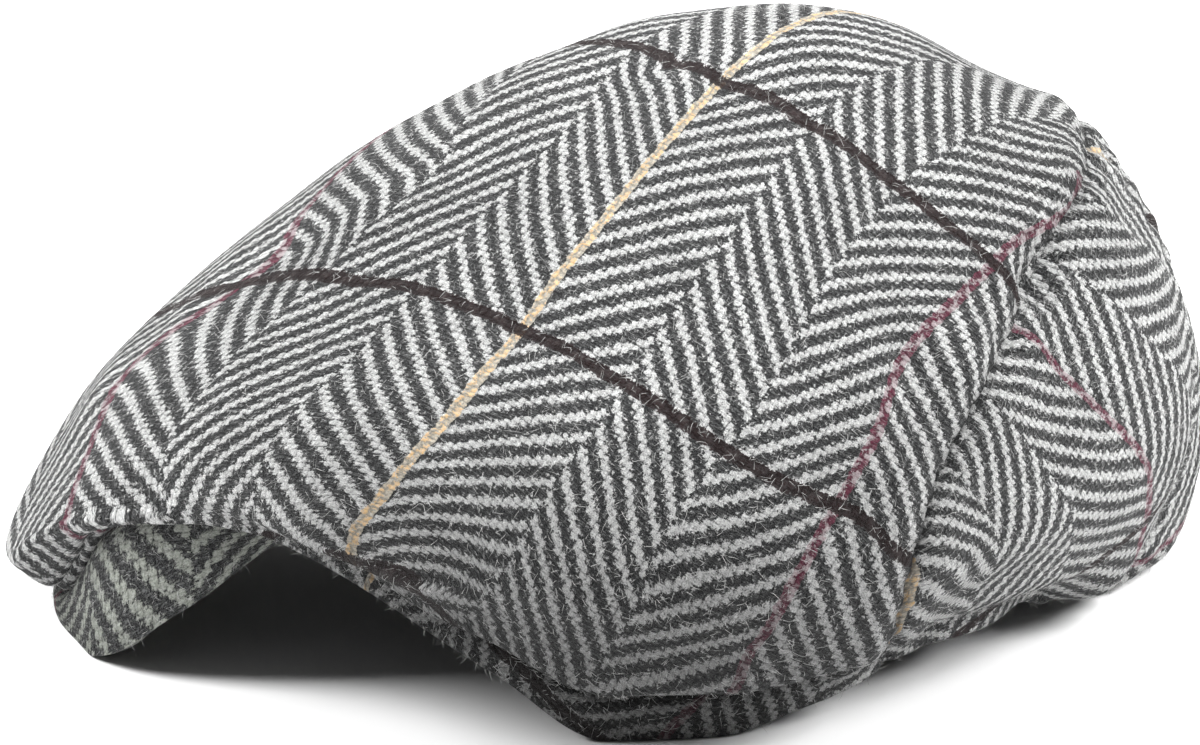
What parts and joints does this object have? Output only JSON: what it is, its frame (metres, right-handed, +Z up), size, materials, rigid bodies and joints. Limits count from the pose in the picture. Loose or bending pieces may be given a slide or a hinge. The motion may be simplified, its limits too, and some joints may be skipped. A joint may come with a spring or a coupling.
{
  "type": "flat cap",
  "caption": "Flat cap of herringbone wool tweed: rounded low crown with a curved back seam, cloth sagging over the hem, short stiff peak under the front lip.",
  "frame": {"origin": "on the surface the cap rests on, under the middle of the cap's length and width", "axes": "+Z up, -Y towards the peak, +X towards the wearer's left"},
  "size_m": [0.2138, 0.2644, 0.132],
  "materials": {
    "tweed": "brushed wool herringbone tweed with a windowpane check",
    "back_tweed": "brushed wool herringbone tweed with a windowpane check",
    "peak_tweed": "brushed wool herringbone tweed over stiff board"
  },
  "bodies": {
    "root": {"main_panel": "tweed", "back_panel_left": "back_tweed", "back_panel_right": "back_tweed", "peak": "peak_tweed"}
  },
  "joints": []
}
